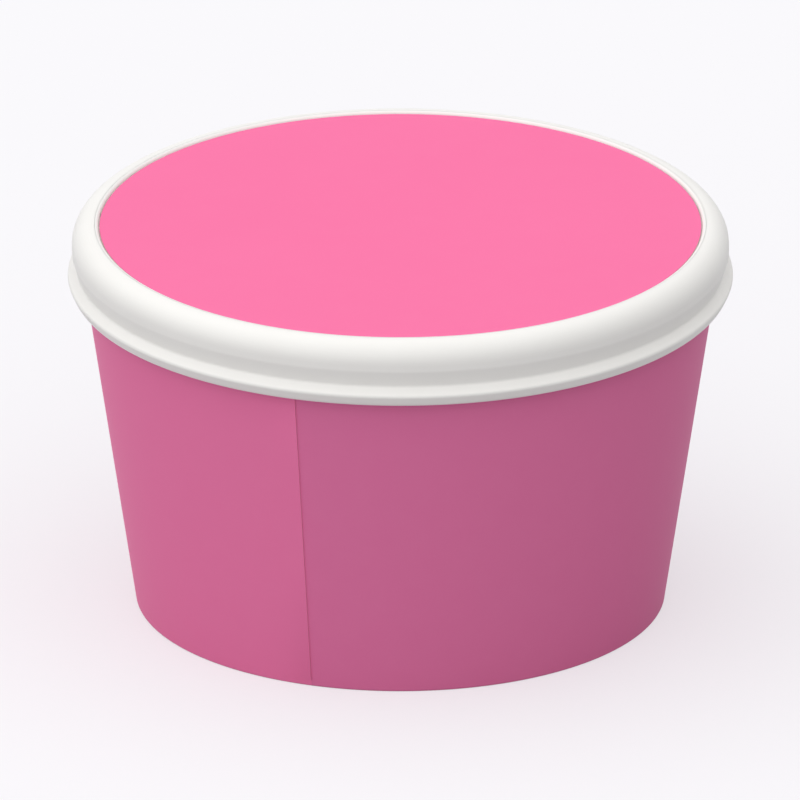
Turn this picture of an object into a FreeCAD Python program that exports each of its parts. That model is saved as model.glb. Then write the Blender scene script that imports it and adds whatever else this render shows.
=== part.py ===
"""A filled paper ice cream cup with its press-on plastic lid, shut.

The cup is a tapered paperboard wall, lapped at one side seam, rolled outwards at the brim and folded
up inside at the foot, where it grips the skirt of a recessed base. The lid is one moulding: a floor
with a well for a card disc, a round shoulder over the brim, a snap ridge under it and a thick lip.
Millimetres, +Z up. The origin is the middle of the foot, on the table.
"""

import FreeCAD, Part
import math
import os

import Sketcher

SIZES = {
    "foot_radius": (39.7, "outside of the wall where it meets the table"),
    "brim_radius": (48.4, "outside of the wall at the height of the rolled brim"),
    "brim_height": (56.95, "table to the middle of the rolled brim"),
    "wall_board": (0.4, "thickness of the wall's paperboard"),
    "seam_lap": (7.5, "width of the lap where the wall's two ends are glued"),
    "seam_step": (0.2, "how far the lap's free edge stands off the wall"),
    "seam_bearing": (250.4, "degrees from +X round to the lap's free edge"),
    "roll_radius": (1.5, "radius of the rolled brim's own round section"),
    "roll_stand": (0.4, "how far the rolled brim stands proud of the wall"),
    "foot_height": (0.8, "height of the plain folded edge, below the lap"),
    "foot_round": (0.35, "rounding of the folded edge the cup stands on"),
    "fold_height": (4.8, "table to the raw edge of the board folded up inside"),
    "base_height": (6.0, "table to the underside of the recessed base"),
    "base_board": (0.3, "thickness of the base's paperboard"),
    "base_round": (0.8, "outer bend between the base and its skirt"),
    "skirt_gap": (0.05, "room on each side of the base's skirt in the fold"),
    "fit_gap": (0.1, "room between the lid and the cup"),
    "lid_wall": (0.5, "thickness of the lid's skirt"),
    "lid_height": (9.9, "top of the crown to the lid's mouth"),
    "floor_board": (0.5, "thickness of the lid's floor"),
    "shoulder_round": (3.3, "outer rounding of the lid's shoulder"),
    "crown_land": (0.2, "flat on top of the crown"),
    "crown_round": (0.5, "rounding of the crown where it drops into the well"),
    "disc_board": (0.5, "thickness of the card disc"),
    "disc_sink": (0.3, "how far the disc lies below the crown"),
    "disc_gap": (0.15, "room between the disc and the well"),
    "snap_drop": (4.0, "middle of the brim down to the snap ridge"),
    "bend_drop": (1.45, "middle of the brim down to where the skirt may start to lean in"),
    "bend_round": (1.5, "rounding of that turn"),
    "least_lean": (17.64, "degrees that it leans in at least, or it starts lower down"),
    "snap_round": (0.4, "rounding of the groove outside the snap ridge"),
    "lip_width": (2.49, "mouth's bore out to the lip's sharp corner"),
    "lip_rise": (1.85, "mouth of the lid up to that corner"),
    "lip_tuck": (0.85, "how far the lip leans back under itself"),
    "lip_round": (0.5, "rounding of the lip's corner"),
    "lip_foot_round": (1.0, "rounding of the lip's lower edge"),
    "mouth_round": (0.4, "lead-in rounding inside the mouth"),
}

# Places worked out from the sizes, as expressions that the sketches are bound to.
WALL_SLOPE = "((sizes.brim_radius - sizes.foot_radius) / sizes.brim_height)"
ROLL_RADIUS = "(sizes.brim_radius + sizes.roll_stand - sizes.roll_radius)"
CEILING = "(sizes.brim_height + sizes.roll_radius + sizes.fit_gap)"
FLOOR = f"({CEILING} + sizes.floor_board)"
CROWN = f"({FLOOR} + sizes.disc_board + sizes.disc_sink)"
MOUTH = f"({CROWN} - sizes.lid_height)"
CHANNEL_RADIUS = "(sizes.brim_radius + sizes.roll_stand + sizes.fit_gap)"
SKIRT_RADIUS = f"({CHANNEL_RADIUS} + sizes.lid_wall)"
WELL_RADIUS = f"({SKIRT_RADIUS} - sizes.shoulder_round - sizes.crown_land - sizes.crown_round)"
SNAP = "(sizes.brim_height - sizes.snap_drop)"
BASE_TOP = "(sizes.base_height + sizes.base_board)"
# The base's skirt keeps one board and one gap from the wall's outside, and as much from the table.
SKIRT_INSET = "(sizes.wall_board + sizes.skirt_gap)"

UP = FreeCAD.Vector(0, 0, 1)

document = FreeCAD.newDocument("ice_cream_cup")


def wall_at(height, inset="0"):
    """Radius of the wall's outside at a height, less an inset."""
    return f"(sizes.foot_radius + {WALL_SLOPE} * {height} - ({inset}))"


def bore_at(height):
    """Inside of the lid at a height where it passes over the wall and its lap."""
    return f"({wall_at(height)} + sizes.seam_step + sizes.fit_gap)"


def make_sheet():
    """The driving sizes, one row each: the cell, its alias and what it is."""
    sheet = document.addObject("Spreadsheet::Sheet", "sizes")
    for row, (alias, (value, meaning)) in enumerate(SIZES.items(), 1):
        sheet.set(f"A{row}", alias)
        sheet.set(f"B{row}", str(value))
        sheet.set(f"C{row}", meaning)
        sheet.setAlias(f"B{row}", alias)
    document.recompute()
    return sheet


def value_of(expression):
    """What an expression on the sheet comes to, as a plain number."""
    return float(sheet.evalExpression(expression))


def origin_plane(body, role):
    """One of the body's own origin planes."""
    return next(item for item in body.Origin.OriginFeatures if item.Role == role)


def new_body(name):
    """An empty body, labelled with the name of its file."""
    body = document.addObject("PartDesign::Body", name)
    body.Label = name
    return body


def new_sketch(body, name, role, height=None):
    """An empty sketch on an origin plane of the body, lifted to a height if one is given."""
    sketch = body.newObject("Sketcher::SketchObject", name)
    sketch.AttachmentSupport = [(origin_plane(body, role), "")]
    sketch.MapMode = "FlatFace"
    if height:
        sketch.setExpression("AttachmentOffset.Base.z", height)
    return sketch


def bind(sketch, kind, points, expression):
    """A dimension between points of the sketch, bound to an expression."""
    number = sketch.addConstraint(Sketcher.Constraint(kind, *points, value_of(expression)))
    sketch.setExpression(f"Constraints[{number}]", expression)


def section(body, name, corners):
    """A closed upright section: each corner is a (radius, height) pair of expressions, "0" for none."""
    sketch = new_sketch(body, name, "XZ_Plane")
    points = [FreeCAD.Vector(value_of(x), value_of(z), 0) for x, z in corners]
    for start, end in zip(points, points[1:] + points[:1]):
        sketch.addGeometry(Part.LineSegment(start, end))
    for line, (radius, height) in enumerate(corners):
        sketch.addConstraint(Sketcher.Constraint("Coincident", line - 1 if line else len(corners) - 1, 2, line, 1))
        if radius == "0":
            sketch.addConstraint(Sketcher.Constraint("PointOnObject", line, 1, -2))
        else:
            bind(sketch, "DistanceX", (-1, 1, line, 1), radius)
        if height == "0":
            sketch.addConstraint(Sketcher.Constraint("PointOnObject", line, 1, -1))
        else:
            bind(sketch, "DistanceY", (-1, 1, line, 1), height)
    return sketch


def turned(body, kind, sketch):
    """The sketch turned all the way round the upright axis, added or cut away."""
    feature = body.newObject(f"PartDesign::{kind}", f"{sketch.Name}_turned")
    feature.Profile = sketch
    feature.ReferenceAxis = (sketch, ["V_Axis"])
    feature.Angle = 360
    document.recompute()
    return feature


def rounded(body, name, feature, size, corners):
    """Rounds the ring-shaped edges at the (radius, height) corners of a turned feature."""
    places = [(value_of(radius), value_of(height)) for radius, height in corners]
    edges = []
    for number, edge in enumerate(feature.Shape.Edges, 1):
        if not isinstance(edge.Curve, Part.Circle):
            continue
        at = (edge.Curve.Radius, edge.Curve.Center.z)
        if any(math.dist(at, place) < 0.001 for place in places):
            edges.append(f"Edge{number}")
    fillet = body.newObject("PartDesign::Fillet", name)
    fillet.Base = (feature, edges)
    fillet.setExpression("Radius", size)
    document.recompute()
    return fillet


def wall_section(body, name, height):
    """The wall's outline at a height: a circle whose last few millimetres lift off over its start."""
    sketch = new_sketch(body, name, "XY_Plane", height)
    radius = value_of(wall_at(height))
    step = value_of("sizes.seam_step")
    turn = math.asin(value_of("sizes.seam_lap") / radius)
    leave = FreeCAD.Vector(radius * math.cos(turn), -radius * math.sin(turn), 0)
    start = FreeCAD.Vector(radius, 0, 0)
    free = FreeCAD.Vector(radius + step, 0, 0)
    chord = free - leave
    lap_radius = -chord.dot(chord) / (2 * chord.dot(leave / radius))
    middle = leave - leave / radius * lap_radius
    rise = [math.atan2((end - middle).y, (end - middle).x) for end in (leave, free)]
    wall = sketch.addGeometry(Part.ArcOfCircle(Part.Circle(FreeCAD.Vector(), UP, radius), 0, 2 * math.pi - turn))
    edge = sketch.addGeometry(Part.LineSegment(start, free))
    lap = sketch.addGeometry(Part.ArcOfCircle(Part.Circle(middle, UP, lap_radius), *rise))
    sketch.addConstraint(Sketcher.Constraint("Coincident", wall, 3, -1, 1))
    sketch.addConstraint(Sketcher.Constraint("PointOnObject", wall, 1, -1))
    sketch.addConstraint(Sketcher.Constraint("Coincident", wall, 1, edge, 1))
    sketch.addConstraint(Sketcher.Constraint("PointOnObject", edge, 2, -1))
    sketch.addConstraint(Sketcher.Constraint("Coincident", edge, 2, lap, 2))
    sketch.addConstraint(Sketcher.Constraint("Tangent", lap, 1, wall, 2))
    bind(sketch, "Radius", (wall,), wall_at(height))
    bind(sketch, "DistanceX", (-1, 1, edge, 2), f"({wall_at(height)} + sizes.seam_step)")
    bind(sketch, "DistanceY", (wall, 2, -1, 1), "sizes.seam_lap")
    return sketch


def make_cup():
    """The filled cup: lapped wall, rolled brim, folded foot and the recess that holds the base."""
    body = new_body("cup")
    low = wall_section(body, "wall_low", "sizes.foot_height")
    high = wall_section(body, "wall_high", "sizes.brim_height")
    wall = body.newObject("PartDesign::AdditiveLoft", "lapped_wall")
    wall.Profile = low
    wall.Sections = [high]
    wall.Ruled = True
    document.recompute()

    roll = new_sketch(body, "brim_roll", "XZ_Plane")
    middle = FreeCAD.Vector(value_of(ROLL_RADIUS), value_of("sizes.brim_height"), 0)
    ring = roll.addGeometry(Part.Circle(middle, UP, value_of("sizes.roll_radius")))
    bind(roll, "Radius", (ring,), "sizes.roll_radius")
    bind(roll, "DistanceX", (-1, 1, ring, 3), ROLL_RADIUS)
    bind(roll, "DistanceY", (-1, 1, ring, 3), "sizes.brim_height")
    turned(body, "Revolution", roll)

    slot = "(sizes.base_board + 2 * sizes.skirt_gap)"
    inner = f"(sizes.wall_board + {slot})"
    fold = f"({inner} + sizes.wall_board)"
    foot = [
        (wall_at("0", fold), "0"),
        (wall_at("0"), "0"),
        (wall_at("sizes.foot_height"), "sizes.foot_height"),
        (wall_at("sizes.foot_height", fold), "sizes.foot_height"),
    ]
    turned(body, "Revolution", section(body, "folded_foot", foot))

    recess = [
        ("0", "sizes.foot_height"),
        (wall_at("sizes.foot_height", fold), "sizes.foot_height"),
        (wall_at("sizes.fold_height", fold), "sizes.fold_height"),
        (wall_at("sizes.fold_height", inner), "sizes.fold_height"),
        (wall_at("sizes.wall_board", inner), "sizes.wall_board"),
        (wall_at("sizes.wall_board", "sizes.wall_board"), "sizes.wall_board"),
        (wall_at(BASE_TOP, "sizes.wall_board"), BASE_TOP),
        ("0", BASE_TOP),
    ]
    hollow = turned(body, "Groove", section(body, "base_recess", recess))
    rounded(body, "foot_edges", hollow, "sizes.foot_round", foot[:2])

    body.Placement = FreeCAD.Placement(FreeCAD.Vector(), FreeCAD.Rotation(UP, value_of("sizes.seam_bearing")))
    body.setExpression("Placement.Rotation.Angle", "sizes.seam_bearing")
    return body


def make_base():
    """The recessed base: a board disc whose skirt hangs down between the wall and its fold."""
    body = new_body("cup_base")
    inside = f"({SKIRT_INSET} + sizes.base_board)"
    corners = [
        ("0", BASE_TOP),
        (wall_at(BASE_TOP, SKIRT_INSET), BASE_TOP),
        (wall_at(SKIRT_INSET, SKIRT_INSET), SKIRT_INSET),
        (wall_at(SKIRT_INSET, inside), SKIRT_INSET),
        (wall_at("sizes.base_height", inside), "sizes.base_height"),
        ("0", "sizes.base_height"),
    ]
    tray = turned(body, "Revolution", section(body, "base_section", corners))
    bend = rounded(body, "outer_bend", tray, "sizes.base_round", corners[1:2])
    rounded(body, "inner_bend", bend, "sizes.base_round - sizes.base_board", corners[4:5])
    return body


def make_lid():
    """The lid: floor, well, crown, shoulder, skirt, snap ridge and lip, turned in one moulding."""
    body = new_body("lid")
    lean_start = f"{SNAP} + ({CHANNEL_RADIUS} - {bore_at(SNAP)}) / tan(sizes.least_lean)"
    bend = f"min({lean_start}; sizes.brim_height - sizes.bend_drop)"
    groove_radius = f"({bore_at(SNAP)} + sizes.lid_wall)"
    lip_radius = f"({bore_at(MOUTH)} + sizes.lip_width)"
    well_foot = (WELL_RADIUS, FLOOR)
    well_edge = (WELL_RADIUS, CROWN)
    shoulder = (SKIRT_RADIUS, CROWN)
    outer_bend = (SKIRT_RADIUS, bend)
    groove = (groove_radius, SNAP)
    lip = (lip_radius, f"({MOUTH} + sizes.lip_rise)")
    lip_foot = (f"({lip_radius} - sizes.lip_tuck)", MOUTH)
    mouth = (bore_at(MOUTH), MOUTH)
    ridge = (bore_at(SNAP), SNAP)
    inner_bend = (CHANNEL_RADIUS, bend)
    channel = (CHANNEL_RADIUS, CEILING)
    corners = [("0", FLOOR), well_foot, well_edge, shoulder, outer_bend, groove, lip, lip_foot]
    corners += [mouth, ridge, inner_bend, channel, ("0", CEILING)]
    shape = turned(body, "Revolution", section(body, "lid_section", corners))
    shape = rounded(body, "shoulder", shape, "sizes.shoulder_round", [shoulder])
    shape = rounded(body, "well_edge", shape, "sizes.crown_round", [well_edge])
    shape = rounded(body, "brim_channel", shape, "sizes.roll_radius + sizes.fit_gap", [channel])
    shape = rounded(body, "skirt_bend", shape, "sizes.bend_round", [outer_bend])
    shape = rounded(body, "skirt_bend_inside", shape, "sizes.bend_round - sizes.lid_wall", [inner_bend])
    shape = rounded(body, "snap_groove", shape, "sizes.snap_round", [groove])
    shape = rounded(body, "snap_ridge", shape, "sizes.snap_round + sizes.lid_wall", [ridge])
    shape = rounded(body, "lip_edge", shape, "sizes.lip_round", [lip])
    shape = rounded(body, "lip_foot", shape, "sizes.lip_foot_round", [lip_foot])
    rounded(body, "mouth_edge", shape, "sizes.mouth_round", [mouth])
    return body


def make_disc():
    """The card disc that lies in the lid's well."""
    body = new_body("lid_disc")
    sketch = new_sketch(body, "disc_outline", "XY_Plane", FLOOR)
    radius = f"({WELL_RADIUS} - sizes.disc_gap)"
    rim = sketch.addGeometry(Part.Circle(FreeCAD.Vector(), UP, value_of(radius)))
    sketch.addConstraint(Sketcher.Constraint("Coincident", rim, 3, -1, 1))
    bind(sketch, "Radius", (rim,), radius)
    card = body.newObject("PartDesign::Pad", "card")
    card.Profile = sketch
    card.setExpression("Length", "sizes.disc_board")
    document.recompute()
    return body


def check(bodies):
    """Stops the build if any object failed or any piece isn't one valid solid."""
    for item in document.Objects:
        if "Invalid" in item.State or "Error" in item.State:
            raise RuntimeError(f"{item.Name} failed: {item.State}")
    for body in bodies:
        shape = body.Shape
        if shape.isNull() or not shape.isValid() or len(shape.Solids) != 1:
            raise RuntimeError(f"{body.Label} isn't one valid solid")


sheet = make_sheet()
pieces = [make_cup(), make_base(), make_lid(), make_disc()]
document.recompute()
check(pieces)
os.makedirs("parts", exist_ok=True)
for piece in pieces:
    piece.Shape.exportStep(f"parts/{piece.Label}.step")
    box = piece.Shape.optimalBoundingBox(False, False)
    print(f"{piece.Label}: {box.XLength:.2f} x {box.YLength:.2f} x {box.ZLength:.2f} mm,"
          f" z {box.ZMin:.2f} to {box.ZMax:.2f}, {piece.Shape.Volume / 1000:.2f} cm3")
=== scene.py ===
# %% [markdown]
# # A shut ice cream cup, dressed
#
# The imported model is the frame: four solids that already have the cup's true sizes. This lesson
# turns their visible surfaces again at a finer pitch, gives each its finish, and lights them.
# Everything is in metres, +Z up, with the cup's foot on the floor and its shown front towards -Y.

import math

import bpy
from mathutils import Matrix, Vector


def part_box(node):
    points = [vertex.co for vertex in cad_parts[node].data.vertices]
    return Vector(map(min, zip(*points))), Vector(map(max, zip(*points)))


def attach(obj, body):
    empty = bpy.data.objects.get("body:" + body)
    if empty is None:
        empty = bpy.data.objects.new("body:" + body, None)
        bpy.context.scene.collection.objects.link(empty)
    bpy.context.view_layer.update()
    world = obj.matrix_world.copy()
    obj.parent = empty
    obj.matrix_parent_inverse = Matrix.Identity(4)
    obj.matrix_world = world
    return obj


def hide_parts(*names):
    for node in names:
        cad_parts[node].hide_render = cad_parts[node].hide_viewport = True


MM = 0.001

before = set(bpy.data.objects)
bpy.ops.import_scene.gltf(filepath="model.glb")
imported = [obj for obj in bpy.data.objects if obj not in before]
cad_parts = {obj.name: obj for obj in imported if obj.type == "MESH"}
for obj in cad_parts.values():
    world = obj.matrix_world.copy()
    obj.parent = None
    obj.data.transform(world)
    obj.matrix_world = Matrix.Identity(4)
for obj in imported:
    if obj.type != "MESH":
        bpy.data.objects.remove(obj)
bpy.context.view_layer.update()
for node in sorted(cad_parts):
    low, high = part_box(node)
    print(node, "from", [round(c / MM, 2) for c in low], "to", [round(c / MM, 2) for c in high], "mm")

# %% [markdown]
# ## Wires and benches
#
# A node tree can be written as sums. A small class wraps an output socket and turns Python's
# operators into Math nodes, so `1 - mask` works, and one method makes every other node: its
# settings go in first, because they decide which sockets the node has. Geometry trees and
# materials share both helpers, since their Math node is the same.

# %% Python sums that become Math nodes
class Wire:
    """An output socket that can stand in a sum."""

    def __init__(self, socket):
        self.socket = socket

    def __add__(self, other):
        return math_node("ADD", self, other)

    def __radd__(self, other):
        return math_node("ADD", other, self)

    def __sub__(self, other):
        return math_node("SUBTRACT", self, other)

    def __rsub__(self, other):
        return math_node("SUBTRACT", other, self)

    def __mul__(self, other):
        return math_node("MULTIPLY", self, other)

    def __rmul__(self, other):
        return math_node("MULTIPLY", other, self)

    def __truediv__(self, other):
        return math_node("DIVIDE", self, other)

    def __pow__(self, other):
        return math_node("POWER", self, other)


def math_node(operation, *values):
    """A Math node on numbers and wires, in the tree of the first wire among them."""
    tree = next(value for value in values if isinstance(value, Wire)).socket.id_data
    node = tree.nodes.new("ShaderNodeMath")
    node.operation = operation
    for slot, value in zip(node.inputs, values):
        feed(slot, value)
    return Wire(node.outputs[0])


def feed(slot, value):
    """Links a wire to a socket, or sets the socket's own value."""
    if isinstance(value, Wire):
        slot.id_data.links.new(value.socket, slot)
    else:
        slot.default_value = value


# %% One method for every other node
class Made:
    """A node on a bench; made["Height"] is a wire from its socket of that name or identifier."""

    def __init__(self, node):
        self.node = node

    def __getitem__(self, key):
        return Wire(socket_of(self.node.outputs, key))


class Bench:
    """A node tree that is being built."""

    def __init__(self, tree):
        self.tree = tree
        tree.nodes.clear()

    def add(self, kind, settings=None, values=None):
        """Makes a node: its settings first, then a value or a wire for each named socket."""
        node = self.tree.nodes.new(kind)
        for name, setting in (settings or {}).items():
            setattr(node, name, setting)
        for key, value in (values or {}).items():
            feed(socket_of(node.inputs, key), value)
        return Made(node)


def socket_of(sockets, key):
    """The socket with that number or identifier, or else with that name."""
    if isinstance(key, int):
        return sockets[key]
    same = [s for s in sockets if s.identifier == key]
    return same[0] if same else sockets[key]


# %% [markdown]
# ## The sizes
#
# The cup is a cone of paperboard, and the lid hangs on its rolled brim, so a few heights and
# radii place everything else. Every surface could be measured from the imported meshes, but a
# section is easier to read in its own sizes. So the outermost places come from the packed
# solids, and the rest are the same named sizes that the solids were built from.

# %% Places that all pieces share
cup_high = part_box("cup")[1]
base_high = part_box("cup_base")[1]
lid_low, lid_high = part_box("lid")
disc_low, disc_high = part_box("lid_disc")

roll_radius = 1.5 * MM
roll_stand = 0.4 * MM  # how far the rolled brim stands out past the wall
brim_height = cup_high.z - roll_radius
brim_radius = 48.4 * MM
foot_radius = 39.7 * MM
seam_bearing = math.radians(250.4)  # the way to the lap's free edge, from +X towards +Y
wall_slope = (brim_radius - foot_radius) / brim_height
print("the wall leans out by", round(math.degrees(math.atan(wall_slope)), 2), "degrees")


def wall_at(height, inset=0.0):
    """Radius of the wall's outside at a height, less an inset."""
    return foot_radius + wall_slope * height - inset


# %% [markdown]
# ## Sections with rounded corners
#
# Every part of the cup is a turned shape, so each starts as a line: the section that would be
# seen if the cup were sawn down the middle. Real board and moulded plastic have no sharp
# bends. A Bevel modifier could round them, but all by one width, so here each corner of the
# section carries its own rounding. A short straight step is kept on each side of a bend, which
# stops the bend's shading from bleeding over the long faces next to it.

# %% A line of corners, rounded
BEND_STEP = math.radians(7)  # the most that one facet of a bend turns
HOLD = 0.12 * MM  # the straight step beside a bend


def rounded_line(corners):
    """The (radius, height, mark) points along corners given as (radius, height, rounding, mark)."""
    line = []
    for number, (radius, height, rounding, mark) in enumerate(corners):
        here = Vector((radius, height))
        if not rounding:
            line.append((radius, height, mark))
            continue
        to_last = Vector(corners[number - 1][:2]) - here
        to_next = Vector(corners[number + 1][:2]) - here
        back, ahead = to_last.normalized(), to_next.normalized()
        half = back.angle(ahead) / 2
        reach = rounding / math.tan(half)
        middle = here + (back + ahead).normalized() * (rounding / math.sin(half))
        first, last = here + back * reach, here + ahead * reach
        if to_last.length > reach + 2 * HOLD:
            line.append((*(first + back * HOLD), mark))
        steps = max(3, math.ceil((math.pi - 2 * half) / BEND_STEP))
        spoke = first - middle
        turn = spoke.angle_signed(last - middle)
        for step in range(steps + 1):
            angle = -turn * step / steps
            across = spoke.x * math.cos(angle) - spoke.y * math.sin(angle)
            up = spoke.x * math.sin(angle) + spoke.y * math.cos(angle)
            line.append((middle.x + across, middle.y + up, mark))
        if to_next.length > reach + 2 * HOLD:
            line.append((*(last + ahead * HOLD), mark))
    return line


# %% [markdown]
# ## A lathe in Geometry Nodes
#
# A Screw modifier could turn a section, but it can't lift one side of the turn, and a paper
# cup's wall is lapped over itself. So the lathe is a tree of its own. It reads the section's
# points, lays out a grid with one column for each step round the axis, and puts each grid point
# at its section's radius and height. One column more than the turn needs lets the lap stand off
# the wall it is glued to: the last full column is lifted, the extra one isn't, and the faces
# between them are the lap's cut edge. Columns that meet are merged, so seams and poles close.
# Marks on the section's points say which rows are lapped and which are a raw cut edge. What a
# material reads later, the way round and the length along the section, is kept on the faces'
# corners.

# %% The grid, bent round the axis
def stored(bench, name):
    """The number that is stored under a name."""
    return bench.add("GeometryNodeInputNamedAttribute", {"data_type": "FLOAT"},
                     {"Name": name})["Attribute"]


def bent_grid(bench, given):
    """The turned grid, and what its points carry: a name, a kind of element and a value each."""
    section, steps = given["Section"], given["Steps"]
    size = bench.add("GeometryNodeAttributeDomainSize", {"component": "MESH"}, {"Geometry": section})
    rows = size["Point Count"]
    grid = bench.add("GeometryNodeMeshGrid", None, {"Vertices X": steps + 2, "Vertices Y": rows})
    index = bench.add("GeometryNodeInputIndex")["Index"]  # a grid counts its points column by column
    column = math_node("FLOOR", (index + 0.5) / rows)
    row = index - column * rows

    def on_section(kind, value):
        """A value of the section's own points, fetched for each row of the grid."""
        return bench.add("GeometryNodeSampleIndex", {"data_type": kind, "domain": "POINT"},
                         {"Geometry": section, "Value": value, "Index": row})["Value"]

    position = bench.add("GeometryNodeInputPosition")["Position"]
    place = bench.add("ShaderNodeSeparateXYZ", None, {"Vector": on_section("FLOAT_VECTOR", position)})
    share = math_node("MINIMUM", column, steps) / steps
    from_edge = (1 - share) * math.tau * place["X"] / given["Lap width"]
    lifted = math_node("LESS_THAN", column, steps + 0.5) * on_section("FLOAT", stored(bench, "lapped"))
    rise = math_node("MAXIMUM", 1 - from_edge, 0.0) ** 2 * lifted
    radius = place["X"] + rise * given["Lap step"]
    angle = given["Bearing"] + share * math.tau
    across, deep = radius * math_node("COSINE", angle), radius * math_node("SINE", angle)
    spot = bench.add("ShaderNodeCombineXYZ", None, {"X": across, "Y": deep, "Z": place["Z"]})
    shape = bench.add("GeometryNodeSetPosition", None,
                      {"Geometry": grid["Mesh"], "Position": spot["Vector"]})["Geometry"]
    return shape, (("around", "CORNER", share),
                   ("along", "CORNER", on_section("FLOAT", stored(bench, "along"))),
                   ("raw", "FACE", on_section("FLOAT", stored(bench, "raw"))),
                   ("step", "FACE", math_node("GREATER_THAN", column, steps - 0.5)))


# %% Keeping what the points carry
def keep(bench, shape, carried):
    """Stores the values on faces or their corners, so that welding the seam can't blur them."""
    for name, domain, value in carried:
        by_point = bench.add("GeometryNodeFieldOnDomain", {"data_type": "FLOAT", "domain": "POINT"},
                             {"Value": value})["Value"]
        shape = bench.add("GeometryNodeStoreNamedAttribute", {"data_type": "FLOAT", "domain": domain},
                          {"Geometry": shape, "Name": name, "Value": by_point})["Geometry"]
    return shape


# %% Welding and shading
SHARP_BEND = math.radians(35)
WELD = 0.001 * MM


def weld_and_shade(bench, shape):
    """Merges what meets, then shades every bend smooth but the sharp ones."""
    shape = bench.add("GeometryNodeMergeByDistance", None,
                      {"Geometry": shape, "Distance": WELD})["Geometry"]
    shape = bench.add("GeometryNodeSetShadeSmooth", {"domain": "FACE"},
                      {"Geometry": shape, "Shade Smooth": True})["Geometry"]
    bend = bench.add("GeometryNodeInputMeshEdgeAngle")["Unsigned Angle"]
    sharp = math_node("GREATER_THAN", bend, SHARP_BEND)
    return bench.add("GeometryNodeSetShadeSmooth", {"domain": "EDGE"},
                     {"Geometry": shape, "Selection": sharp, "Shade Smooth": False})["Geometry"]


# %% The tree and its named inputs
LATHE_INPUTS = {"Section": "Geometry", "Steps": "Int", "Bearing": "Float", "Lap width": "Float",
                "Lap step": "Float", "Finish": "Material", "Cut edge": "Material"}
ALL_POINTS = 0.9  # a face's mean mark is higher than this only if all its points are marked


def lathe_tree():
    """Turns a section round the Z axis, with a lap at one bearing."""
    tree = bpy.data.node_groups.new("lathe", "GeometryNodeTree")
    tree.is_modifier = True
    bench = Bench(tree)
    for name, kind in LATHE_INPUTS.items():
        tree.interface.new_socket(name, in_out="INPUT", socket_type=f"NodeSocket{kind}")
    tree.interface.new_socket("Turned", in_out="OUTPUT", socket_type="NodeSocketGeometry")
    given = bench.add("NodeGroupInput")
    shape, carried = bent_grid(bench, given)
    shape = weld_and_shade(bench, keep(bench, shape, carried))
    shape = bench.add("GeometryNodeRealizeInstances", None, {"Geometry": shape})["Geometry"]
    shape = bench.add("GeometryNodeSetMaterial", None,
                      {"Geometry": shape, "Material": given["Finish"]})["Geometry"]
    marked = math_node("MAXIMUM", stored(bench, "raw"), stored(bench, "step"))
    cut = math_node("GREATER_THAN", marked, ALL_POINTS)
    shape = bench.add("GeometryNodeSetMaterial", None,
                      {"Geometry": shape, "Selection": cut, "Material": given["Cut edge"]})["Geometry"]
    bench.add("NodeGroupOutput", None, {"Turned": shape})
    return tree


lathe = lathe_tree()
inputs = {item.name: item.identifier for item in lathe.interface.items_tree if item.in_out == "INPUT"}
print("the lathe has", len(lathe.nodes), "nodes and the inputs", list(inputs))


# %% [markdown]
# ### From a section to a piece
#
# The tree reads a mesh, so a section becomes one first: points joined by edges, which carry its
# marks. Each input of the modifier is set by its identifier, since the name is only its label.
# The result could stay live under the modifier. It is made a plain mesh instead, and the
# modifier goes, so that the piece is no more than faces, attributes and materials.

# %% Turning one piece
AROUND = 360
NO_LAP = 0.0, MM  # nothing to lift, over any width but none, as the tree divides by it


def turn_piece(name, line, finish, cut_edge, lap=NO_LAP):
    """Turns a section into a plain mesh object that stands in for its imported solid."""
    points = [(radius, 0.0, height) for radius, height, mark in line]
    section = bpy.data.meshes.new(name + "_section")
    section.from_pydata(points, [(n, n + 1) for n in range(len(points) - 1)], [])
    along = [0.0]
    for last, here in zip(points, points[1:]):
        along.append(along[-1] + math.dist(last, here))
    for attribute, values in (("lapped", [float(mark == "lapped") for *_, mark in line]),
                              ("raw", [float(mark == "raw") for *_, mark in line]),
                              ("along", along)):
        section.attributes.new(attribute, "FLOAT", "POINT").data.foreach_set("value", values)
    piece = bpy.data.objects.new(name, section)
    bpy.context.scene.collection.objects.link(piece)
    modifier = piece.modifiers.new("lathe", "NODES")
    modifier.node_group = lathe
    for socket, value in (("Steps", AROUND), ("Bearing", seam_bearing), ("Lap step", lap[0]),
                          ("Lap width", lap[1]), ("Finish", finish), ("Cut edge", cut_edge)):
        modifier[inputs[socket]] = value
    turned = bpy.data.meshes.new_from_object(piece.evaluated_get(bpy.context.evaluated_depsgraph_get()))
    piece.modifiers.clear()
    piece.data = turned
    turned.name = name
    turned.materials.pop(index=0)  # the empty slot that Set Material leaves in front
    volume = sum(face.center.dot(face.normal) * face.area for face in turned.polygons) / 3
    print(name, len(turned.polygons), "faces, volume", round(volume * 1e6, 3), "cm3")
    return piece


# %% [markdown]
# ## Finishes
#
# A finish on a real pack is never one flat colour. Ink lies unevenly over the fibres, the
# coating has its own fine ripple, and moulded plastic carries the grain of its steel mould. A
# scan of real board could be wrapped round each piece, but it would look right at one distance
# only. So each material mixes two close colours through noise, and gets its roughness and a
# very small bump from noise at the true scale: fibres are tenths of a millimetre, mottle a few.

# %% What all finishes share
def new_finish(name):
    """An empty material and its bench."""
    material = bpy.data.materials.new(name)
    material.use_nodes = True
    print("finish", name)
    return material, Bench(material.node_tree)


def own_place(bench):
    """Object coordinates: metres from the cup's origin, on whichever piece is shaded."""
    return bench.add("ShaderNodeTexCoord")["Object"]


def written(bench, name):
    """A number that the lathe wrote on the mesh."""
    return bench.add("ShaderNodeAttribute", {"attribute_name": name})["Fac"]


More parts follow.
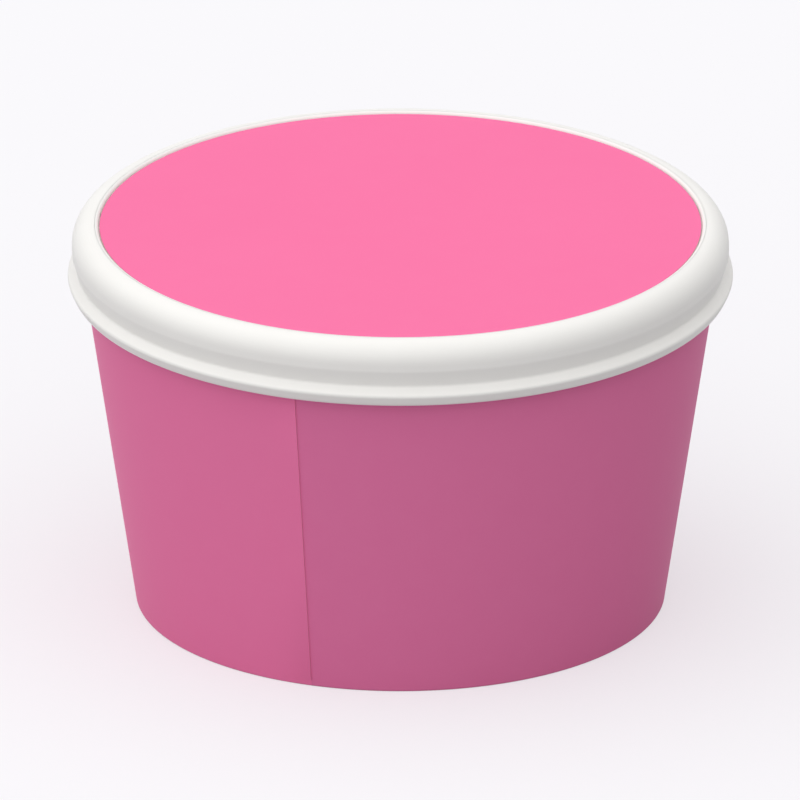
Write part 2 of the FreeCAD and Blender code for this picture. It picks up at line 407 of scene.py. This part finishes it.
def noise(bench, where, size, detail=2.0, roughness=0.5):
    """Noise from 0 to 1, with features of a given size in metres."""
    return bench.add("ShaderNodeTexNoise", {"noise_dimensions": "3D"},
                     {"Vector": where, "Scale": 1 / size, "Detail": detail,
                      "Roughness": roughness})["Fac"]


def stretched(bench, where, scale):
    """Object coordinates squeezed along one way, for fibres that lie along the board."""
    return bench.add("ShaderNodeMapping", {"vector_type": "POINT"},
                     {"Vector": where, "Scale": scale})["Vector"]


def blend(bench, share, first, second):
    """A mix of two colours, or of a colour and a wire."""
    pair = [value if isinstance(value, Wire) else (*value, 1) for value in (first, second)]
    return bench.add("ShaderNodeMix", {"data_type": "RGBA"},
                     {"Factor_Float": share, "A_Color": pair[0], "B_Color": pair[1]})["Result_Color"]


def finish_off(bench, colour, roughness, height, relief, shine):
    """The closing nodes: a bump of a given relief in metres, and the surface itself."""
    bump = bench.add("ShaderNodeBump", None, {"Height": height, "Strength": 1.0, "Distance": relief})
    surface = bench.add("ShaderNodeBsdfPrincipled", None,
                        {"Base Color": colour, "Roughness": roughness, "Normal": bump["Normal"],
                         "Specular IOR Level": shine})
    bench.add("ShaderNodeOutputMaterial", None, {"Surface": surface["BSDF"]})


def smooth_step(value, low, high):
    """A wire that rises from 0 to 1 between two values of another."""
    share = math_node("MINIMUM", math_node("MAXIMUM", (value - low) / (high - low), 0.0), 1.0)
    return share * share * (3 - 2 * share)


# %% [markdown]
# ### The pink print, with painted light and shade
#
# The wall is coated paperboard, printed all over in pink. Painted light and shade are laid into
# that pink: it is lighter on the side of the lap that lies on top, as painted light, and darker
# on the side it covers, as painted shade, so the lap shows as a step of tone from brim to foot,
# and the two shades run into each other round the back. Two materials would show a second line
# there. One material that reads how far round it is, as the lathe wrote it for each corner from
# the lap's free edge, needs no line.

# %% Print on the wall
# Both wall pinks are darker than the disc's pink, as painted shade of the upright wall; the first is
# the painted lit side of the lap, the second the painted shaded side.
PRINT_PAINTED_LIT_SIDE = (0.915, 0.201, 0.426)
PRINT_PAINTED_SHADED_SIDE = (0.81, 0.184, 0.396)
THIN_INK = (1.0, 0.42, 0.62)
THINNEST = 0.10  # the share of thin ink where the print is palest
PRINT_SHINE = 0.12
MOTTLE = 4 * MM
SPECKS = 0.35 * MM
RIPPLE = 1.6 * MM
LONG_FIBRE = 0.3 * MM
COATED_RELIEF = 0.012 * MM


def print_on_board(name, light, deep, share_of_light):
    """Pink ink on coated board: mottled ink, fibre ripple under the coating, a satin sheen."""
    material, bench = new_finish(name)
    where = own_place(bench)
    mottle = noise(bench, where, MOTTLE, 3.0) * 0.6 + noise(bench, where, SPECKS) * 0.4
    # On the wall this mix is painted light and shade; on the disc it is slow waves of tone.
    ink = blend(bench, share_of_light(bench), deep, light)
    colour = blend(bench, mottle * THINNEST, ink, THIN_INK)
    fibres = noise(bench, stretched(bench, where, (1, 1, 0.3)), LONG_FIBRE)
    ripple = noise(bench, where, RIPPLE, 1.0)
    height = ripple * 0.7 + fibres * 0.3
    finish_off(bench, colour, 0.50 + 0.12 * mottle, height, COATED_RELIEF, PRINT_SHINE)
    return material


# %% The step of painted light and shade at the lap
# Where the painted shade ends and the painted light starts, as shares of the way round.
PAINTED_SHADE_ENDS, PAINTED_LIGHT_STARTS = 0.36, 0.74  # shares of the way round, from the covered side


def painted_lap_shade(bench):
    """Painted light and shade: 1, lit, on the lap's side of the seam and 0, shaded, on the other,
    closing gradually at the back.
    """
    return smooth_step(written(bench, "around"), PAINTED_SHADE_ENDS, PAINTED_LIGHT_STARTS)


# The wall's pink, with painted light on the lap's side of the seam and painted shade on the other.
wall_print_and_shade = print_on_board("pink_print_and_painted_shade", PRINT_PAINTED_LIT_SIDE, PRINT_PAINTED_SHADED_SIDE, painted_lap_shade)


# %% [markdown]
# ### The disc's print
#
# The disc's pink is brighter than the wall's, which is darkened as painted shade of the upright
# wall. It has no lap, so in place of the wall's painted light and shade it gets slow waves of
# tone, as a wide flat of ink has. One plain pink would do from afar, but close by the flat top
# would look like paint, so the wall's recipe is used again.

# %% Print on the disc
DISC_PINK = (0.975, 0.175, 0.395)
DISC_PINK_DEEP = (0.955, 0.165, 0.38)
SHEET_WAVES = 22 * MM


def sheet_tone(bench):
    """Slow waves of tone over a wide flat of ink."""
    return noise(bench, own_place(bench), SHEET_WAVES)


disc_print = print_on_board("pink_print_on_disc", DISC_PINK, DISC_PINK_DEEP, sheet_tone)


# %% [markdown]
# ### Cut and plain board
#
# Where board is cut, its pulp shows: pale round the disc, and stained pink at the lap, where
# the ink is laid over the cut. The base is the same board left plain, and rougher than the
# printed side. Three finishes could be made apart, but they are one recipe, short fibres in
# cloudy pulp, with other colours and another relief.

# %% Board without print
BOARD_SHINE = 0.3
CLOUDS = 3 * MM
SHORT_FIBRE = 0.25 * MM
CUT_RELIEF = 0.02 * MM
PLAIN_RELIEF = 0.012 * MM


def bare_board(name, pale, warm, relief):
    """White or stained board: cloudy pulp with short fibres lying in it."""
    material, bench = new_finish(name)
    where = own_place(bench)
    cloud = noise(bench, where, CLOUDS, 3.0)
    fibres = noise(bench, stretched(bench, where, (0.35, 1, 1)), SHORT_FIBRE, 3.0, 0.6)
    colour = blend(bench, cloud * 0.6 + fibres * 0.4, pale, warm)
    height = fibres * 0.7 + cloud * 0.3
    finish_off(bench, colour, 0.66 + 0.14 * fibres, height, relief, BOARD_SHINE)
    return material


cut_board = bare_board("cut_board", (0.86, 0.80, 0.74), (0.72, 0.64, 0.57), CUT_RELIEF)
inked_edge = bare_board("inked_edge", (0.84, 0.30, 0.46), (0.70, 0.24, 0.38), CUT_RELIEF)
plain_board = bare_board("plain_board", (0.88, 0.87, 0.845), (0.80, 0.785, 0.75), PLAIN_RELIEF)


# %% [markdown]
# ### Moulded plastic
#
# The lid is a warm white plastic with a soft satin face. Its mould was turned on a lathe and
# then lightly blasted, so it carries the faintest rings and a fine even grain. Rings cut into
# the mesh would need many times its faces, so the material draws them, from the length along
# the section that the lathe wrote for each corner.

# %% The lid's plastic
LID_WHITE = (0.945, 0.935, 0.905)
LID_WARM = (0.915, 0.90, 0.87)
LID_SHINE = 0.4
GRAIN = 0.16 * MM
FLOW = 9 * MM
RING_PITCH = 0.45 * MM
MOULD_RELIEF = 0.006 * MM


def moulded_plastic(name):
    """Satin white plastic with mould grain and faint turning rings."""
    material, bench = new_finish(name)
    where = own_place(bench)
    grain = noise(bench, where, GRAIN, 2.0, 0.6)
    flow = noise(bench, where, FLOW)
    turns = written(bench, "along") * (math.tau / RING_PITCH)
    rings = math_node("SINE", turns + flow * 2) * 0.5 + 0.5
    colour = blend(bench, flow * 0.7 + grain * 0.3, LID_WHITE, LID_WARM)
    satin = 0.36 + 0.10 * grain + 0.04 * flow
    finish_off(bench, colour, satin, grain * 0.75 + rings * 0.25, MOULD_RELIEF, LID_SHINE)
    return material


lid_plastic = moulded_plastic("white_moulded_plastic")

# %% [markdown]
# ## The cup
#
# A flat fan of board is wrapped round a cone, lapped and glued along one side, rolled outwards
# at the brim, and folded up inside at the foot round the skirt of the base. It could be made
# that way too, as a bent sheet with a thickness, but a shut and filled cup shows its outside
# alone. So one closed section runs from under the base out over the fold, up the wall and over
# the roll. Only the wall's rows are marked as lapped, because the foot's fold and the roll
# press the lap flat.

# %% Sizes of the wall and the foot
wall_board = 0.4 * MM
seam_lap = 7.5 * MM
seam_step = 0.2 * MM
foot_height = 0.8 * MM
foot_round = 0.35 * MM
fold_height = 4.8 * MM
skirt_gap = 0.05 * MM
base_board = 0.3 * MM

inner = wall_board + base_board + 2 * skirt_gap  # from the wall's outside in to the fold
fold = inner + wall_board  # and in to the fold's inside
base_top = base_high.z
print("the folded foot is", round(fold / MM, 2), "mm thick")

# %% Round the brim
ROLL_STEPS = 40
roll_middle = Vector((cup_high.x - roll_radius, brim_height))


def roll_points():
    """Round the rolled brim, from where it meets the wall outside to the cup's flat top inside."""
    lean = math.atan(wall_slope)
    offset = (roll_middle.x - wall_at(roll_middle.y)) * math.cos(lean)
    first = -math.acos(-offset / roll_radius) - lean
    for step in range(ROLL_STEPS + 1):
        angle = first + (math.pi - first) * step / ROLL_STEPS
        yield (roll_middle.x + roll_radius * math.cos(angle),
               roll_middle.y + roll_radius * math.sin(angle), "")


stand = cup_high.x - wall_at(brim_height)
print("the roll is", round(2 * roll_radius / MM, 2), "mm thick and stands",
      round(stand / MM, 2), "mm out")

# %% Up the lapped wall
over_foot = 0.5 * MM
under_roll = 0.3 * MM
rows_between = (20 * MM, 38 * MM)

lap_starts = foot_height + over_foot
lap_ends = next(roll_points())[1] - under_roll
wall_rows = [(wall_at(height), height, "lapped") for height in (lap_starts, *rows_between, lap_ends)]
print("the lap shows from", round(lap_starts / MM, 2), "to", round(lap_ends / MM, 2), "mm up")

# %% The cup's section
cup_line = [
    *rounded_line([
        (0, base_top, 0, ""),
        (wall_at(base_top, wall_board), base_top, 0, ""),
        (wall_at(wall_board, wall_board), wall_board, 0, ""),
        (wall_at(wall_board, inner), wall_board, 0, ""),
        (wall_at(fold_height, inner), fold_height, 0, "raw"),
        (wall_at(fold_height, fold), fold_height, 0, "raw"),
        (wall_at(0, fold), 0, foot_round, ""),
        (wall_at(0), 0, foot_round, ""),
        (wall_at(foot_height), foot_height, 0, ""),
    ]),
    *wall_rows,
    *roll_points(),
    (0, brim_height, ""),
]
# The wall gets the pink print with its painted light and shade.
cup_wall = turn_piece("cup_wall", cup_line, wall_print_and_shade, inked_edge, (seam_step, seam_lap))

# %% [markdown]
# ## The lid
#
# One moulding, 0.5 mm thick: a floor with a well for the disc, a narrow crown, a round
# shoulder, then a skirt that turns in to a snap ridge under the brim and out again to a thick
# lip, the part a thumb pushes on. A thin line with a Solidify modifier would keep one
# thickness, but the lip is thick. So the section is given closed: it starts under the floor
# and runs round the lip to the well.

# %% Sizes of the lid
fit_gap = 0.1 * MM
lid_wall = 0.5 * MM
lid_floor = 0.5 * MM
shoulder_round = 3.3 * MM
crown_land = 0.2 * MM
crown_round = 0.5 * MM
snap_drop = 4.0 * MM
bend_drop = 1.45 * MM
bend_round = 1.5 * MM
snap_round = 0.4 * MM
lip_width = 2.49 * MM
lip_rise = 1.85 * MM
lip_tuck = 0.85 * MM
lip_round = 0.5 * MM
lip_foot_round = 1.0 * MM
mouth_round = 0.4 * MM

# %% Where the lid's corners lie
crown, mouth = lid_high.z, lid_low.z
floor_top = disc_low.z
ceiling = floor_top - lid_floor
channel = brim_radius + roll_stand + fit_gap
skirt = channel + lid_wall
well = skirt - shoulder_round - crown_land - crown_round
bend, snap = brim_height - bend_drop, brim_height - snap_drop


def bore_at(height):
    """Inside of the lid where it passes over the wall and its lap."""
    return wall_at(height) + seam_step + fit_gap


lip = bore_at(mouth) + lip_width
print("the lid's skirt is", round(2 * skirt / MM, 2), "mm across and its well",
      round(2 * well / MM, 2), "mm")

# %% The lid's section
lid_line = rounded_line([
    (0, ceiling, 0, ""),
    (channel, ceiling, roll_radius + fit_gap, ""),
    (channel, bend, bend_round - lid_wall, ""),
    (bore_at(snap), snap, snap_round + lid_wall, ""),
    (bore_at(mouth), mouth, mouth_round, ""),
    (lip - lip_tuck, mouth, lip_foot_round, ""),
    (lip, mouth + lip_rise, lip_round, ""),
    (bore_at(snap) + lid_wall, snap, snap_round, ""),
    (skirt, bend, bend_round, ""),
    (skirt, crown, shoulder_round, ""),
    (well, crown, crown_round, ""),
    (well, floor_top, 0, ""),
    (0, floor_top, 0, ""),
])
lid_shell = turn_piece("lid_shell", lid_line, lid_plastic, lid_plastic)

# %% [markdown]
# ## The disc
#
# A die-cut round of card, printed on top, lying in the lid's well. It could be a plain
# cylinder, but the die eases its top edge by a hair, which catches a line of light, and its cut
# side shows the bare board. So it is turned like the rest.

# %% The disc's section
eased = 0.08 * MM

disc_line = rounded_line([
    (0, disc_low.z, 0, ""),
    (disc_high.x, disc_low.z, 0, "raw"),
    (disc_high.x, disc_high.z - eased, 0, "raw"),
    (disc_high.x - eased, disc_high.z, 0, ""),
    (0, disc_high.z, 0, ""),
])
disc_card = turn_piece("disc_card", disc_line, disc_print, cut_board)

# %% [markdown]
# ## Handing the pieces over
#
# Three turned pieces stand in for their imported solids. The base's solid is right as it is,
# so it only gets its board. Nothing on the cup moves, so the turned pieces ride on the one body.

# %% What each piece stands for
for piece, node, slot in ((cup_wall, "cup", "printed_board"),
                          (lid_shell, "lid", "lid_plastic"),
                          (disc_card, "lid_disc", "disc_card")):
    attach(piece, "root")
    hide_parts(node)
    print(piece.name, "stands for", node)
for material_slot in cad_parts["cup_base"].material_slots:
    material_slot.material = plain_board
print("cup_base keeps its solid, in", plain_board.name)

# %% [markdown]
# ## The table
#
# A plain pale floor. The eye sees it almost white, and partly lit from within, as a studio's
# light table is, which keeps the cup's shadow light. More light would whiten the floor too,
# but it would wash out the cup. So what bounces off it is the light of a greyer floor. From
# below it can be seen through.

# %% Floor
PAPER_WHITE = (0.956, 0.947, 0.973)
BOUNCED_GREY = (0.45, 0.445, 0.46)
TABLE_GLOW = 0.55
FLOOR_HALF = 3.0


def seen_directly(bench):
    """1 for what the camera sees, also in a reflection or through glass, and 0 for light."""
    path = bench.add("ShaderNodeLightPath")
    kinds = path["Is Camera Ray"] + path["Is Glossy Ray"] + path["Is Transmission Ray"]
    return math_node("MINIMUM", kinds, 1.0)


def floor_finish():
    """Pale to the camera and in reflections, greyer to bounced light."""
    material, bench = new_finish("floor")
    seen = seen_directly(bench)
    colour = blend(bench, seen, BOUNCED_GREY, PAPER_WHITE)
    matt = bench.add("ShaderNodeBsdfDiffuse", None, {"Color": colour})
    lit = bench.add("ShaderNodeEmission", None, {"Color": (*PAPER_WHITE, 1), "Strength": 1.0})
    table = bench.add("ShaderNodeMixShader", None,
                      {0: seen * TABLE_GLOW, 1: matt["BSDF"], 2: lit["Emission"]})
    clear = bench.add("ShaderNodeBsdfTransparent")
    below = bench.add("ShaderNodeNewGeometry")["Backfacing"]
    mixed = bench.add("ShaderNodeMixShader", None, {0: below, 1: table["Shader"], 2: clear["BSDF"]})
    bench.add("ShaderNodeOutputMaterial", None, {"Surface": mixed["Shader"]})
    return material


corners = [(x * FLOOR_HALF, y * FLOOR_HALF, 0) for x, y in ((-1, -1), (1, -1), (1, 1), (-1, 1))]
ground = bpy.data.meshes.new("floor")
ground.from_pydata(corners, [], [(0, 1, 2, 3)])
ground.materials.append(floor_finish())
floor = bpy.data.objects.new("floor", ground)
bpy.context.scene.collection.objects.link(floor)
print("the floor is", 2 * FLOOR_HALF, "m wide")

# %% [markdown]
# ## Light
#
# Soft studio light from above: an even sky, and one very wide lamp overhead that leans to the
# left and the front, which gives the round wall and the lid their turn of shade. An area lamp
# would fall off with distance, so a sun lamp is used, with a wide angle for its softness. A
# level upward face gets about the light at which its colour shows as written.

# %% Sky
SKY = 0.36

world = bpy.data.worlds.new("studio")
world.use_nodes = True
bench = Bench(world.node_tree)
sky = bench.add("ShaderNodeBackground", None, {"Color": (1, 1, 1, 1), "Strength": SKY})
backdrop = bench.add("ShaderNodeBackground", None, {"Color": (*PAPER_WHITE, 1), "Strength": 1.0})
mixed = bench.add("ShaderNodeMixShader", None,
                  {0: seen_directly(bench), 1: sky["Background"], 2: backdrop["Background"]})
bench.add("ShaderNodeOutputWorld", None, {"Surface": mixed["Shader"]})
bpy.context.scene.world = world
print("the sky lights the cup at", SKY)

# %% Lamp
LAMP_LEVEL = 0.685
LAMP_SPREAD = math.radians(120)
LAMP_AWAY = 0.5  # only keeps it out of the cup, as a sun lamp shines alike from any distance
towards_lamp = Vector((-0.26, -0.25, 1.0))

lamp = bpy.data.lights.new("lamp_overhead", "SUN")
lamp.energy = LAMP_LEVEL * math.pi
lamp.angle = LAMP_SPREAD
holder = bpy.data.objects.new("lamp_overhead", lamp)
holder.rotation_euler = towards_lamp.to_track_quat("Z", "Y").to_euler()
holder.location = towards_lamp.normalized() * LAMP_AWAY
bpy.context.scene.collection.objects.link(holder)
lean = math.degrees(towards_lamp.angle(Vector((0, 0, 1))))
print("the lamp leans", round(lean, 1), "degrees from upright")

# %% [markdown]
# ## Camera
#
# The cup is seen from the front and a little above, with no taper from near to far. A long lens
# from far away would come close to that, and a parallel camera gives it exactly. Its scale is
# set so that the lid fills most of the width.

# %% The parallel camera
CAMERA_RISE = math.radians(21.83)
CAMERA_AWAY = 0.6
VIEW_WIDTH = 120.26 * MM
look_at = Vector((-0.06 * MM, 0, 31.34 * MM))

lens = bpy.data.cameras.new("camera")
lens.type = "ORTHO"
lens.ortho_scale = VIEW_WIDTH
lens.clip_start, lens.clip_end = 0.01, 10
camera = bpy.data.objects.new("camera", lens)
towards_camera = Vector((0, -math.cos(CAMERA_RISE), math.sin(CAMERA_RISE)))
camera.location = look_at + towards_camera * CAMERA_AWAY
camera.rotation_euler = towards_camera.to_track_quat("Z", "Y").to_euler()
bpy.context.scene.collection.objects.link(camera)
bpy.context.scene.camera = camera
bpy.context.scene.view_settings.view_transform = "Standard"
print("the camera shows", round(VIEW_WIDTH / MM, 2), "mm across")
